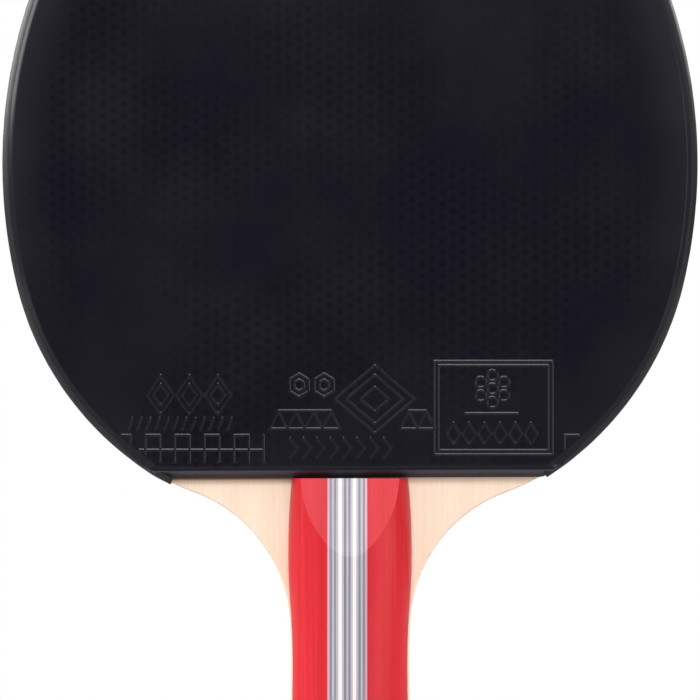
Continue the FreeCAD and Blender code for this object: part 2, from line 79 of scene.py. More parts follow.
class Shader:
    """One material's node tree. A value may be a number, a colour or another socket."""

    def __init__(self, name):
        self.material = bpy.data.materials.new(name)
        self.material.use_nodes = True
        self.tree = self.material.node_tree
        self.tree.nodes.clear()
        self.place = self.add("ShaderNodeTexCoord").outputs["Object"]
        self.normal = self.add("ShaderNodeNewGeometry").outputs["Normal"]

    def add(self, kind, values=(), **settings):
        """Makes a node, sets its properties, and fills its input sockets."""
        node = self.tree.nodes.new(kind)
        for key, setting in settings.items():
            setattr(node, key, setting)
        for key, value in dict(values).items():
            self.fill(node.inputs[key], value)
        return node

    def fill(self, socket, value):
        if isinstance(value, bpy.types.NodeSocket):
            self.tree.links.new(value, socket)
        else:
            socket.default_value = value

    def math(self, operation, first, second=0.0):
        return self.add("ShaderNodeMath", {0: first, 1: second}, operation=operation).outputs[0]

    def axis(self, vector, letter):
        return self.add("ShaderNodeSeparateXYZ", {0: vector}).outputs[letter]

    def stretched(self, across, through, along):
        """The place in space with each axis scaled, so that noise draws out along the grain."""
        node = self.add("ShaderNodeVectorMath", {0: self.place, 1: (across, through, along)},
                        operation="MULTIPLY")
        return node.outputs[0]

    def noise(self, vector, scale=1.0, detail=3.0, roughness=0.5):
        values = {"Vector": vector, "Scale": scale, "Detail": detail, "Roughness": roughness}
        return self.add("ShaderNodeTexNoise", values).outputs[0]

    def range(self, value, low, high, to_low=0.0, to_high=1.0):
        """Moves a value from one range to another, smoothly, and holds it there at both ends."""
        values = {"Value": value, "From Min": low, "From Max": high, "To Min": to_low, "To Max": to_high}
        return self.add("ShaderNodeMapRange", values, interpolation_type="SMOOTHSTEP").outputs[0]

    def mix(self, first, second, factor):
        """Blends two colours, by the sockets that a mix node keeps for colours."""
        node = self.add("ShaderNodeMix", data_type="RGBA")
        self.fill(node.inputs[0], factor)
        self.fill(node.inputs[6], first)
        self.fill(node.inputs[7], second)
        return node.outputs[2]

    def bump(self, height, depth, strength):
        values = {"Height": height, "Distance": depth, "Strength": strength}
        return self.add("ShaderNodeBump", values).outputs[0]

    def finish(self, values):
        """Ends the tree with a surface shader and gives the material."""
        surface = self.add("ShaderNodeBsdfPrincipled", values)
        output = self.add("ShaderNodeOutputMaterial")
        self.tree.links.new(surface.outputs[0], output.inputs["Surface"])
        return self.material


def rgba(red, green, blue):
    return (red, green, blue, 1.0)


# ---------------------------------------------------------------- wood materials


def end_grain(shader):
    """1 on faces cut across the upright grain, such as the handle's butt, and 0 elsewhere."""
    upright = shader.math("ABSOLUTE", shader.axis(shader.normal, "Z"))
    return shader.range(upright, 0.75, 0.95)


def painted_cut_shadow(shader, side):
    """How much painted shadow darkens the wood just under the rubber's cut: more on its viewer's left."""
    across = shader.math("MULTIPLY", shader.axis(shader.place, "X"), -side)
    rise = shader.math("MULTIPLY", shader.math("SUBTRACT", across, CUT_PIVOT), CUT_TILT)
    level = shader.math("ADD", rise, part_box("front_sponge")[0].z)
    below = shader.math("SUBTRACT", level, shader.axis(shader.place, "Z"))
    # Painted shadow: a dark warm band just under the cut, and a fainter fade below it.
    line = shader.range(below, 0.1 * MM, 0.55 * MM, 0.55, 0.0)
    shadow_fade = shader.range(below, 0.2 * MM, 1.8 * MM, 0.35, 0.0)
    share = shader.range(across, -20 * MM, 20 * MM, 1.1, 0.3)
    return shader.math("MULTIPLY", share, shader.math("ADD", line, shadow_fade))


def ply_wood(name, pale, dark, edge_tone, side=None, cut_shadow=None):
    """Raw veneer of the blade: fine fibres up the face, and another tone on its cut edges.

    An outer veneer also has a side, and the warm brown of the shadow painted on it under the rubber's cut."""
    shader = Shader(name)
    fibres = shader.noise(shader.stretched(2600, 2600, 60), detail=4)
    figure = shader.noise(shader.stretched(260, 260, 9), detail=2)
    pores = shader.noise(shader.stretched(5200, 5200, 420), detail=1)
    tone = shader.math("MULTIPLY", fibres, 0.55)
    tone = shader.math("ADD", tone, shader.math("MULTIPLY", figure, 0.45))
    colour = shader.mix(pale, dark, shader.range(tone, 0.32, 0.72))
    pore_mask = shader.range(pores, 0.66, 0.74, 0.0, 0.35)
    colour = shader.mix(colour, dark, pore_mask)
    facing = shader.math("ABSOLUTE", shader.axis(shader.normal, "Y"))
    edge = shader.range(facing, 0.25, 0.8, 1.0, 0.0)
    lines = shader.noise(shader.stretched(1400, 5200, 500), detail=2)
    edge_colour = shader.mix(edge_tone, dark, shader.range(lines, 0.4, 0.62, 0.0, 0.7))
    colour = shader.mix(colour, edge_colour, edge)
    if cut_shadow:
        # Painted shadow in warm brown on the wood under the rubber's cut.
        colour = shader.mix(colour, cut_shadow, painted_cut_shadow(shader, side))
    return shader.finish({
        "Base Color": colour,
        "Roughness": shader.range(fibres, 0.3, 0.7, 0.62, 0.74),
        "Specular IOR Level": 0.3,
        "Normal": shader.bump(tone, 0.04 * MM, 0.6),
    })


def dyed_wood(name, light, deep, seams=(), seam_colour=None):
    """Dyed and lacquered wood of the handle, with upright streaks and a darker end grain.

    seams are the places of glue lines across the handle, drawn in seam_colour."""
    shader = Shader(name)
    fibres = shader.noise(shader.stretched(2800, 130, 22), detail=4, roughness=0.6)
    layers = shader.noise(shader.stretched(150, 2200, 22), detail=3)
    bands = shader.noise(shader.stretched(480, 160, 6), detail=2)
    tone = shader.math("ADD", shader.math("MULTIPLY", fibres, 0.5), shader.math("MULTIPLY", bands, 0.35))
    tone = shader.math("ADD", tone, shader.math("MULTIPLY", layers, 0.15))
    colour = shader.mix(deep, light, shader.range(tone, 0.36, 0.64))
    rings = shader.noise(shader.stretched(900, 4200, 900), detail=2)
    butt = shader.mix(deep, light, shader.range(rings, 0.42, 0.6, 0.0, 0.5))
    colour = shader.mix(colour, butt, end_grain(shader))
    across = shader.axis(shader.place, "X")
    for seam in seams:
        gap = shader.math("ABSOLUTE", shader.math("SUBTRACT", across, seam))
        colour = shader.mix(seam_colour, colour, shader.range(gap, 0.08 * MM, 0.22 * MM))
    return shader.finish({
        "Base Color": colour,
        "Roughness": shader.range(fibres, 0.3, 0.7, 0.28, 0.38),
        "Specular IOR Level": 0.2,
        "Normal": shader.bump(tone, 0.03 * MM, 0.5),
    })


# ---------------------------------------------------------------- rubber, sponge and tape


PIP_PITCH = 2.57 * MM           # between neighbours in an upright column of pimples
PIP_COLUMN_STEP = PIP_PITCH * math.cos(math.radians(30))
PIP_CORE = 0.3 * MM             # radius of a pimple's full tone
PIP_RADIUS = 0.9 * MM           # radius where its tone has faded away
WIDEST_UP = 118.2 * MM          # the level where the head is widest
LOWER_REACH = 78.7 * MM         # how far below it the lower half ellipse would close
SCUFF_SHEEN_FROM = 0.84             # where the rim's scuffs and painted sheen begin, as a share of the way to the side
SCUFF_SHEEN_TO = 1.01               # and where they are the strongest


def pip_distance(shader):
    """How far a place is from the nearest pimple under the sheet, in metres.

    The pimples lie on two rectangular lattices, each in the middle of the other's cells."""
    cell = (2 * PIP_COLUMN_STEP, 1.0, PIP_PITCH)
    scaled = shader.add("ShaderNodeVectorMath", {0: shader.place, 1: cell}, operation="DIVIDE").outputs[0]
    distances = []
    for shift in (0.0, 0.5):
        moved = shader.add("ShaderNodeVectorMath", {0: scaled, 1: (shift, 0.0, shift)}, operation="ADD")
        part = shader.add("ShaderNodeVectorMath", {0: moved.outputs[0]}, operation="FRACTION")
        centred = shader.add("ShaderNodeVectorMath", {0: part.outputs[0], 1: (0.5, 0.5, 0.5)},
                             operation="SUBTRACT")
        flat = shader.add("ShaderNodeVectorMath", {0: centred.outputs[0], 1: (cell[0], 0.0, cell[2])},
                          operation="MULTIPLY")
        length = shader.add("ShaderNodeVectorMath", {0: flat.outputs[0]}, operation="LENGTH")
        distances.append(length.outputs["Value"])
    return shader.math("MINIMUM", distances[0], distances[1])


def rim_nearness(shader):
    """0 over the middle of the head, rising to 1 at its upper side and less at its lower side.

    The side is nearly two half ellipses, which meet where the head is widest."""
    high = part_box("front_top_sheet")[1]
    across = shader.math("DIVIDE", shader.axis(shader.place, "X"), high.x)
    height = shader.math("SUBTRACT", shader.axis(shader.place, "Z"), WIDEST_UP)
    above = shader.math("DIVIDE", height, high.z - WIDEST_UP)
    below = shader.math("DIVIDE", height, -LOWER_REACH)
    up = shader.math("MAXIMUM", above, below)
    squares = shader.math("ADD", shader.math("MULTIPLY", across, across), shader.math("MULTIPLY", up, up))
    near = shader.range(shader.math("SQRT", squares), SCUFF_SHEEN_FROM, SCUFF_SHEEN_TO)
    # Strong at the upper side and weak low down: there the lightening is a painted sheen where the lamps
    # light the rim.
    return shader.math("MULTIPLY", near, shader.range(height, -50 * MM, 15 * MM, 0.1, 1.0))


def cut_face(shader):
    """1 on the face cut along the bottom of a sheet, which looks down, and 0 elsewhere."""
    down = shader.range(shader.axis(shader.normal, "Z"), -0.85, -0.6, 1.0, 0.0)
    sideways = shader.math("ABSOLUTE", shader.axis(shader.normal, "X"))
    return shader.math("MULTIPLY", down, shader.range(sideways, 0.2, 0.4, 1.0, 0.0))


def rubber(name, base, pip_tone, haze, scuff_and_sheen, cut_tone, specular):
    """Smooth rubber with its pimples inwards: they just show through, and the rim is lightened by scuffs
    and a painted sheen.
    """
    shader = Shader(name)
    cut = cut_face(shader)
    pips = shader.range(pip_distance(shader), PIP_CORE, PIP_RADIUS, 1.0, 0.0)
    cloud = shader.noise(shader.place, scale=38, detail=3)
    grain = shader.noise(shader.place, scale=2600, detail=2)
    colour = shader.mix(base, haze, shader.range(cloud, 0.42, 0.75))
    shown = shader.range(shader.noise(shader.place, scale=26, detail=1), 0.35, 0.65, 0.05, 0.5)
    colour = shader.mix(colour, pip_tone, shader.math("MULTIPLY", pips, shown))
    # Painted sheen with scuffs: the rim is lightened, most at its upper side.
    scuffs_and_sheen = shader.math("MULTIPLY", rim_nearness(shader), shader.range(cloud, 0.3, 0.7, 0.8, 1.0))
    colour = shader.mix(colour, scuff_and_sheen, scuffs_and_sheen)
    height = shader.math("ADD", shader.math("MULTIPLY", pips, -0.06), shader.math("MULTIPLY", grain, 0.06))
    colour = shader.mix(colour, cut_tone, cut)
    rough = shader.range(cloud, 0.3, 0.7, 0.18, 0.24)
    rough = shader.math("ADD", rough, shader.math("MULTIPLY", cut, 0.5))
    return shader.finish({
        "Base Color": colour,
        "Roughness": rough,
        "Specular IOR Level": specular,
        "Normal": shader.bump(height, 0.02 * MM, 0.6),
    })


def cellular(name, base, hollow):
    """Cut sponge: a matt face full of tiny open cells."""
    shader = Shader(name)
    cells = []
    for scale in (5200, 2100):
        voronoi = shader.add("ShaderNodeTexVoronoi", {"Vector": shader.place, "Scale": scale})
        cells.append(voronoi.outputs["Distance"])
    pits = shader.math("MINIMUM", cells[0], shader.math("MULTIPLY", cells[1], 1.3))
    colour = shader.mix(hollow, base, shader.range(pits, 0.12, 0.5))
    return shader.finish({
        "Base Color": colour,
        "Roughness": 0.85,
        "Specular IOR Level": 0.2,
        "Normal": shader.bump(pits, 0.12 * MM, 0.9),
    })


THREAD_ROW = 0.42 * MM          # pitch of the tape's threads across its width
THREAD_COLUMN = 0.5 * MM        # and along it
TURN_RADIUS = 0.14              # metres along the tape for each radian round the origin


def woven_tape(name, thread, gap):
    """Cloth edge tape: fine crossed threads, along the rim and across it."""
    shader = Shader(name)
    east = shader.axis(shader.place, "X")
    up = shader.axis(shader.place, "Z")
    along = shader.math("MULTIPLY", shader.math("ARCTAN2", up, east), TURN_RADIUS)
    through = shader.axis(shader.place, "Y")
    rows = shader.math("SINE", shader.math("MULTIPLY", through, math.tau / THREAD_ROW))
    columns = shader.math("SINE", shader.math("MULTIPLY", along, math.tau / THREAD_COLUMN))
    weave = shader.math("MULTIPLY", rows, columns)
    fuzz = shader.noise(shader.place, scale=1500, detail=3)
    tone = shader.math("ADD", shader.range(weave, -0.8, 0.8), shader.math("MULTIPLY", fuzz, 0.6))
    colour = shader.mix(gap, thread, shader.range(tone, 0.3, 1.3))
    return shader.finish({
        "Base Color": colour,
        "Roughness": 0.34,
        "Specular IOR Level": 0.34,
        "Normal": shader.bump(tone, 0.03 * MM, 0.3),
    })


# ---------------------------------------------------------------- outlines from the frame


DEPTH_SLACK = 0.01 * MM         # points this close to a depth count as on it
LEVEL_SLACK = 0.001 * MM        # and points this close to a level
DECIMALS = 7                    # of a metre, which tell two corners apart


def face_outline(node, side, depth):
    """The closed outline of a CAD node's flat face at a depth, as points (across, up)."""
    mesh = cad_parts[node].data
    links = {}
    for polygon in mesh.polygons:
        corners = [mesh.vertices[index].co for index in polygon.vertices]
        if any(abs(side * corner.y - depth) > DEPTH_SLACK for corner in corners):
            continue
        ends = [(round(-side * corner.x, DECIMALS), round(corner.z, DECIMALS)) for corner in corners]
        for start, end in zip(ends, ends[1:] + ends[:1]):
            if links.get(end) == {start}:
                del links[end]
            elif start in links.get(end, ()):
                links[end].remove(start)
            else:
                links.setdefault(start, set()).add(end)
    first = next(iter(links))
    loop = [first]
    while len(loop) < len(links):
        loop.append(next(iter(links[loop[-1]])))
    return loop


def head_side(node, side, depth):
    """The outline of the head from its lower left corner over the crown to the lower right."""
    loop = face_outline(node, side, depth)
    low = min(up for across, up in loop)
    corners = [index for index, point in enumerate(loop) if point[1] < low + LEVEL_SLACK]
    left = min(corners, key=lambda index: loop[index][0])
    right = max(corners, key=lambda index: loop[index][0])
    around = loop[left:] + loop[:left]
    if (right - left) % len(loop) < len(loop) / 2:
        around = [around[0]] + around[:0:-1]
    span = around.index(loop[right])
    return smoothed(np.array(around[:span + 1]))


def smoothed(points, parts=4):
    """A finer curve through the points, by Catmull-Rom."""
    before = np.vstack([2 * points[0] - points[1], points[:-2]])
    after = np.vstack([points[2:], 2 * points[-1] - points[-2]])
    start, end = points[:-1], points[1:]
    rows = []
    for step in range(parts):
        t = step / parts
        rows.append(0.5 * (2 * start + (end - before) * t
                           + (2 * before - 5 * start + 4 * end - after) * t ** 2
                           + (3 * start - before - 3 * end + after) * t ** 3))
    fine = np.stack(rows, axis=1).reshape(-1, 2)
    return np.vstack([fine, points[-1:]])


def inset_curve(curve, inset):
    """The curve moved inwards. It runs clockwise, so the inside is on its right."""
    along = np.gradient(curve, axis=0)
    along /= np.linalg.norm(along, axis=1)[:, None]
    inwards = np.stack([along[:, 1], -along[:, 0]], axis=1)
    return curve + inwards * inset


def cut_above(curve, left_level, right_level):
    """The part of an arch-shaped curve between the places where its two legs reach a level."""
    crown = int(curve[:, 1].argmax())
    first = crown - int(np.argmax(curve[crown::-1, 1] < left_level)) + 1
    last = crown + int(np.argmax(curve[crown:, 1] < right_level)) - 1
    ends = []
    for inner, outer, level in ((first, first - 1, left_level), (last, last + 1, right_level)):
        part = (curve[inner, 1] - level) / (curve[inner, 1] - curve[outer, 1])
        ends.append(curve[inner] + (curve[outer] - curve[inner]) * part)
    return np.vstack([ends[0], curve[first:last + 1], ends[1]])


def extended(curve, reach=2.0 * MM):
    """The curve with a short straight run added at each end."""
    first = curve[0] + (curve[0] - curve[1]) / np.linalg.norm(curve[0] - curve[1]) * reach
    last = curve[-1] + (curve[-1] - curve[-2]) / np.linalg.norm(curve[-1] - curve[-2]) * reach
    return np.vstack([first, curve, last])


def evenly(curve, count):
    """The curve as count equal steps."""
    steps = np.linalg.norm(np.diff(curve, axis=0), axis=1)
    walked = np.concatenate([[0.0], np.cumsum(steps)])
    places = np.linspace(0.0, walked[-1], count + 1)
    return np.stack([np.interp(places, walked, curve[:, axis]) for axis in (0, 1)], axis=1)


def smoothstep(value, low, high):
    t = np.clip((value - low) / (high - low), 0.0, 1.0)
    return t * t * (3 - 2 * t)


# ---------------------------------------------------------------- mesh building


RIM_STEPS = 440                 # quads round the head, from corner to corner
CUT_STEPS = 110                 # quads along the straight cut
CORNER_REACH = 1.3 * MM         # how far the rounding of the lower corners reaches
ONLY_INSIDE = 1                 # the triangulation keeps what lies inside its border
SAME_PLACE = 1e-8               # and takes points this close together as one


class FaceMesh:
    """Collects the vertices and faces of one piece, given in face coordinates."""

    def __init__(self, side):
        self.side = side
        self.vertices = []
        self.faces = []

    def add(self, points, depths):
        """Adds points at their depths, and gives their numbers."""
        start = len(self.vertices)
        for (across, up), depth in zip(points, depths):
            self.vertices.append((-self.side * across, self.side * depth, up))
        return list(range(start, len(self.vertices)))

    def bridge(self, lower, upper):
        """Joins two closed rings of clockwise points. The lower one lies deeper."""
        count = len(lower)
        for index in range(count):
            after = (index + 1) % count
            self.faces.append((lower[index], upper[index], upper[after], lower[after]))

    def fill(self, ring, outline, inner_points=(), inner_numbers=(), outwards=True):
        """Covers a closed ring, and any points inside it, with triangles."""
        points = [Vector(point) for point in outline] + [Vector(point) for point in inner_points]
        numbers = list(ring) + list(inner_numbers)
        border = [(index, (index + 1) % len(ring)) for index in range(len(ring))]
        result = delaunay_2d_cdt(points, border, [], ONLY_INSIDE, SAME_PLACE)
        triangles, origins = result[2], result[3]
        for triangle in triangles:
            corners = [numbers[origins[index][0]] for index in triangle]
            self.faces.append(corners if outwards else corners[::-1])

    def piece(self, name, material, nodes):
        """Makes the object, which stands for these CAD nodes."""
        mesh = bpy.data.meshes.new(name)
        mesh.from_pydata(self.vertices, [], self.faces)
        mesh.validate()
        mesh.polygons.foreach_set("use_smooth", [True] * len(mesh.polygons))
        mesh.materials.append(material)
        made = bpy.data.objects.new(name, mesh)
        bpy.context.scene.collection.objects.link(made)
        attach(made, "root")
        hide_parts(*nodes)
        return made


def cut_rise(across):
    """How far the straight cut stands above its true height at a place across the face."""
    return CUT_TILT * (across - CUT_PIVOT)


def ring_points(curve, inset, level):
    """A closed clockwise ring: the head's side moved inwards, and the straight cut at a level."""
    side = inset_curve(extended(curve), inset)
    left_level, right_level = (level + cut_rise(end[0]) for end in (curve[0], curve[-1]))
    rim = evenly(cut_above(side, left_level, right_level), RIM_STEPS)
    cut = np.linspace(rim[-1], rim[0], CUT_STEPS + 1)[1:-1]
    ring = np.vstack([rim, cut])
    for corner in (0, RIM_STEPS):
        ring = rounded_corner(ring, corner, CORNER_REACH)
    return ring


def rounded_corner(ring, corner, reach):
    """The closed ring with one sharp corner rounded, by points on a curve within its reach."""
    count = len(ring)
    arms = []
    for step in (-1, 1):
        arm, walked = [], 0.0
        while True:
            here = (corner + step * len(arm)) % count
            after = (here + step) % count
            walked += np.linalg.norm(ring[after] - ring[here])
            if walked > reach:
                break
            arm.append(after)
        arms.append(arm)
    before, after = arms[0][::-1], arms[1]
    start, middle, end = ring[before[0]], ring[corner].copy(), ring[after[-1]]
    moved = before + [corner] + after
    result = ring.copy()
    for index, number in enumerate(moved):
        if index <= len(before):
            t = 0.5 * index / len(before)
        else:
            t = 0.5 + 0.5 * (index - len(before)) / len(after)
        result[number] = (1 - t) ** 2 * start + 2 * t * (1 - t) * middle + t ** 2 * end
    return result


# ---------------------------------------------------------------- moulded marks


# All measures of the marks are in mm, across the face and up.
BAND_LEFT = -51.0               # the extent of the marked band
BAND_RIGHT = 53.0
BAND_TOP = 76.5
BAR_LOW = 60.6
BAR_TOP = 63.1
BAR_LEAN = 0.9
CHECK = 3.2                     # side of a check
CHECK_FOOT = 53.1               # the checks stand on the ridge by the cut
CHECK_MIDDLE = 56.2
FRAME_GAP = 0.9                 # between the two lines of the frame
RING_STEP = 2.9                 # from the middle ring of the cluster to the others
RING_RADIUS = 1.15


def row(first, pitch, count):
    """Evenly spaced places across the face."""
    return [first + pitch * step for step in range(count)]


def closed(corners):
    """The lines round a closed outline."""
    return list(zip(corners, corners[1:] + corners[:1]))


def box_marks(left, low, width, height):
    """An upright rectangle."""
    right, top = left + width, low + height
    return closed([(left, low), (right, low), (right, top), (left, top)])


def round_marks(across, up, half_width, half_height, sides):
    """A regular outline round a centre, with a corner at its top."""
    corners = []
    for step in range(sides):
        turn = math.tau * step / sides
        corners.append((across + half_width * math.sin(turn), up + half_height * math.cos(turn)))
    return closed(corners)


def nested_lozenge(across, up, half_width, half_height, sizes):
    """Lozenges of several sizes round one centre."""
    marks = []
    for size in sizes:
        marks += round_marks(across, up, half_width * size, half_height * size, 4)
    return marks


def triangle_band(left, low, base, height, count):
    """A zigzag between two lines."""
    feet = [(left + base * step / 2, low + height * (step % 2)) for step in range(2 * count + 1)]
    edges = [(feet[0], feet[-1]), (feet[1], feet[-2])]
    return list(zip(feet, feet[1:])) + edges


def chevron(tail, low, depth, height):
    """Two short lines that meet in a point to the right."""
    point = (tail + depth, low + height / 2)
    return [((tail, low), point), (point, (tail, low + height))]


def left_marks():
    """Three tall lozenges over a row of slanted bars."""
    marks = []
    for across in row(first=-41.0, pitch=6.2, count=3):
        marks += nested_lozenge(across, up=68.2, half_width=2.9, half_height=4.2, sizes=(1.0, 0.55))
    for foot in row(first=-48.0, pitch=1.95, count=12):
        marks.append(((foot, BAR_LOW), (foot + BAR_LEAN, BAR_TOP)))
    return marks


def centre_marks():
    """Two hexagons and nested lozenges, between bands of triangles and over a row of chevrons."""
    marks = nested_lozenge(across=5.4, up=67.2, half_width=8.6, half_height=7.3, sizes=(1.0, 0.72, 0.36))
    for across in row(first=-11.0, pitch=5.4, count=2):
        for size in (1.0, 0.5):
            marks += round_marks(across, up=70.2, half_width=2.4 * size, half_height=2.5 * size, sides=6)
    for left, count in ((-17.4, 4), (10.8, 2)):
        marks += triangle_band(left, low=60.8, base=3.8, height=3.9, count=count)
    for tail in row(first=-13.0, pitch=2.9, count=8):
        marks += chevron(tail, low=54.6, depth=1.7, height=4.2)
    return marks


def ring_cluster(across, up):
    """Six rings round a seventh."""
    marks = round_marks(across, up, RING_RADIUS, RING_RADIUS, sides=12)
    for step in range(6):
        turn = math.tau * step / 6
        east, north = RING_STEP * math.sin(turn), RING_STEP * math.cos(turn)
        marks += round_marks(across + east, up + north, RING_RADIUS, RING_RADIUS, sides=12)
    return marks


def right_marks():
    """A double frame round a cluster of rings, a line and a row of lozenges."""
    marks = []
    for inset in (0.0, FRAME_GAP):
        marks += box_marks(18.2 + inset, 55.2 + inset, width=25.6 - 2 * inset, height=20.2 - 2 * inset)
    marks += ring_cluster(across=30.8, up=69.4)
    marks.append(((25.0, 64.1), (36.4, 64.1)))
    for across in row(first=22.4, pitch=3.35, count=6):
        marks += round_marks(across, up=59.8, half_width=1.4, half_height=2.3, sides=4)
    return marks


def checker_marks():
    """Two rows of checks at the left end, with a few at the right end."""
    marks = []
    top = CHECK_MIDDLE + CHECK
    for start, squares in ((-50.7, 10), (46.4, 2)):
        for across in row(start, CHECK, squares + 1):
            marks.append(((across, CHECK_FOOT), (across, top)))
        for across in row(start, 2 * CHECK, squares // 2):
            marks.append(((across, top), (across + CHECK, top)))
        marks.append(((start, CHECK_MIDDLE), (start + CHECK * squares, CHECK_MIDDLE)))
    return marks


def all_marks():
    """Every moulded line, as an array of (across, up) pairs in metres."""
    lines = left_marks() + centre_marks() + right_marks() + checker_marks()
    return np.array(lines) * MM


def line_distance(points, lines):
    """The distance from each point to the nearest line."""
    nearest = np.full(len(points), 1.0)
    for start, end in lines:
        run = end - start
        away = points - start
        part = np.clip(away @ run / max(run @ run, 1e-12), 0.0, 1.0)
        gap = np.linalg.norm(away - part[:, None] * run, axis=1)
        nearest = np.minimum(nearest, gap)
    return nearest


# ---------------------------------------------------------------- the rubber sheets


RIM_WIDTH = 2.0 * MM            # how far in the sheet's edge slopes away
RIM_DROP = 1.5 * MM
RIM_POWER = 1.74                # its profile: 1 would be a round quarter, and 2 a flat slope
RIM_LENGTH = 0.45               # metres round the head from corner to corner, roughly
CORNER_BLEND = 2.5 * MM         # how far from a corner the rim has left the depth of the cut
FLAT_RINGS = (0.12 * MM, 0.35 * MM)     # rings just inside the rim, which keep its inner edge crisp
FLAT_MARGIN = 0.2 * MM          # from the last of them to the nearest points of the face
SAG_WIDTH = 12.0 * MM           # how far in the face begins to fall towards its edge
SAG_DROP = 0.2 * MM
SAG_START = 0.5 * MM            # height above the cut where the fall sets in, and where it is whole
SAG_FULL = 9.0 * MM
MARK_HALF_WIDTH = 0.27 * MM
MARK_HEIGHT = 0.13 * MM
FINE_STEP = 0.15 * MM           # spacing of the points that shape the marks
MIDDLE_STEP = 1.0 * MM          # of those between the marks
MIDDLE_TOP = 78 * MM            # just over the highest mark
COARSE_STEP = 3.0 * MM          # and of those above
BLOCK = 4000                    # how many points are measured at a time, to save memory


# The profile of the sheet's straight lower edge: height above its lowest line, and height
# out from its glued face, mm. A slanted cut, a groove, and a moulded ridge.
CUT_PROFILE = ((0.0, 0.0), (0.20, 0.43), (0.40, 0.87), (0.60, 1.30), (0.74, 1.60), (0.82, 1.69),
               (0.92, 1.72), (1.02, 1.70), (1.14, 1.69), (1.27, 1.70), (1.38, 1.74), (1.48, 1.785),
               (1.58, 1.815), (1.70, 1.83), (1.82, 1.825), (1.92, 1.81), (2.02, 1.80), (2.14, 1.80))


def sag(inset, height):
    """How far the face has fallen at this distance in from its side and up from its cut."""
    fall = SAG_DROP * np.clip(1.0 - inset / SAG_WIDTH, 0.0, 1.0) ** 2
    return fall * smoothstep(height, SAG_START, SAG_FULL)


def rim_profile(part):
    """The inset and the drop below the face of the sloping rim, from the wall (0) inwards (1)."""
    turn = part * math.pi / 2
    return RIM_WIDTH * (1 - math.cos(turn) ** RIM_POWER), RIM_DROP * (1 - math.sin(turn) ** RIM_POWER)


def side_distance(points, curve):
    """The distance from each point to the head's side."""
    nearest = np.full(len(points), 1.0)
    for first in range(0, len(points), BLOCK):
        some = points[first:first + BLOCK]
        gaps = np.linalg.norm(some[:, None, :] - curve[None, ::2, :], axis=2)
        nearest[first:first + BLOCK] = gaps.min(axis=1)
    return nearest


def grid(left, right, low, high, step):
    """Points on a triangular lattice over a rectangle."""
    columns = np.arange(left, right, step)
    rows = np.arange(low, high, step * math.cos(math.radians(30)))
    across, up = np.meshgrid(columns, rows)
    across[1::2] += step / 2
    return np.stack([across.ravel(), up.ravel()], axis=1)


def face_points(curve, lines, low):
    """Points that shape the sheet's face: close on the marks, and wide apart elsewhere."""
    left, right = curve[:, 0].min(), curve[:, 0].max()
    top = curve[:, 1].max()
    fine = grid(BAND_LEFT * MM, BAND_RIGHT * MM, low, BAND_TOP * MM, FINE_STEP)
    fine = fine[line_distance(fine, lines) < MARK_HALF_WIDTH + 1.5 * FINE_STEP]
    middle = grid(left, right, low, MIDDLE_TOP, MIDDLE_STEP)
    middle = middle[line_distance(middle, lines) > MARK_HALF_WIDTH + 3 * FINE_STEP]
    wide = grid(left, right, MIDDLE_TOP + MIDDLE_STEP, top, COARSE_STEP)
    points = np.vstack([fine, middle, wide])
    height = points[:, 1] - low - cut_rise(points[:, 0])
    inset = side_distance(points, curve)
    within = inset > RIM_WIDTH + FLAT_RINGS[-1] + FLAT_MARGIN
    within &= height > FLAT_MARGIN / 2
    within &= inside(points, curve)
    return points[within], inset[within]


def inside(points, curve):
    """True for each point within the arch of the head's side, by counting crossings."""
    crossings = np.zeros(len(points), dtype=int)
    for start, end in zip(curve[:-1], curve[1:]):
        spans = (start[1] > points[:, 1]) != (end[1] > points[:, 1])
        slope = (end[0] - start[0]) / (end[1] - start[1]) if end[1] != start[1] else 0.0
        meets = start[0] + (points[:, 1] - start[1]) * slope
        crossings += spans & (points[:, 0] < meets)
    return crossings % 2 == 1


def ring_depths(cut_level, rim_levels):
    """The depths of a ring's points: the rim's round the head, and the cut's along the cut."""
    walked = np.arange(RIM_STEPS + 1) * (RIM_LENGTH / RIM_STEPS)
    from_corner = np.minimum(walked, walked[::-1])
    rim = cut_level + (rim_levels - cut_level) * smoothstep(from_corner, 0.0, CORNER_BLEND)
    return np.concatenate([rim, np.full(CUT_STEPS - 1, cut_level)])


def edge_rings(made, curve, low, glued, face):
    """The rings of the sheet's edge: from the glued face up the wall and the cut, and over the rim."""
    profile = np.array(CUT_PROFILE) * MM
    rings = []
    for step, (cut_height, cut_out) in enumerate(profile):
        inset, drop = rim_profile(max(step - 1, 0) / (len(profile) - 2))
        points = ring_points(curve, inset, low + cut_height)
        rim_levels = face - drop - sag(inset, points[:RIM_STEPS + 1, 1] - low)
        if step == 0:
            rim_levels = np.full(RIM_STEPS + 1, glued)
        rings.append((points, made.add(points, ring_depths(glued + cut_out, rim_levels))))
    ridge_top = low + profile[-1][0]
    for reach in FLAT_RINGS:
        points = ring_points(curve, RIM_WIDTH + reach, ridge_top + reach)
        levels = face - sag(RIM_WIDTH + reach, points[:, 1] - low)
        rings.append((points, made.add(points, levels)))
    return rings, ridge_top + FLAT_RINGS[-1]


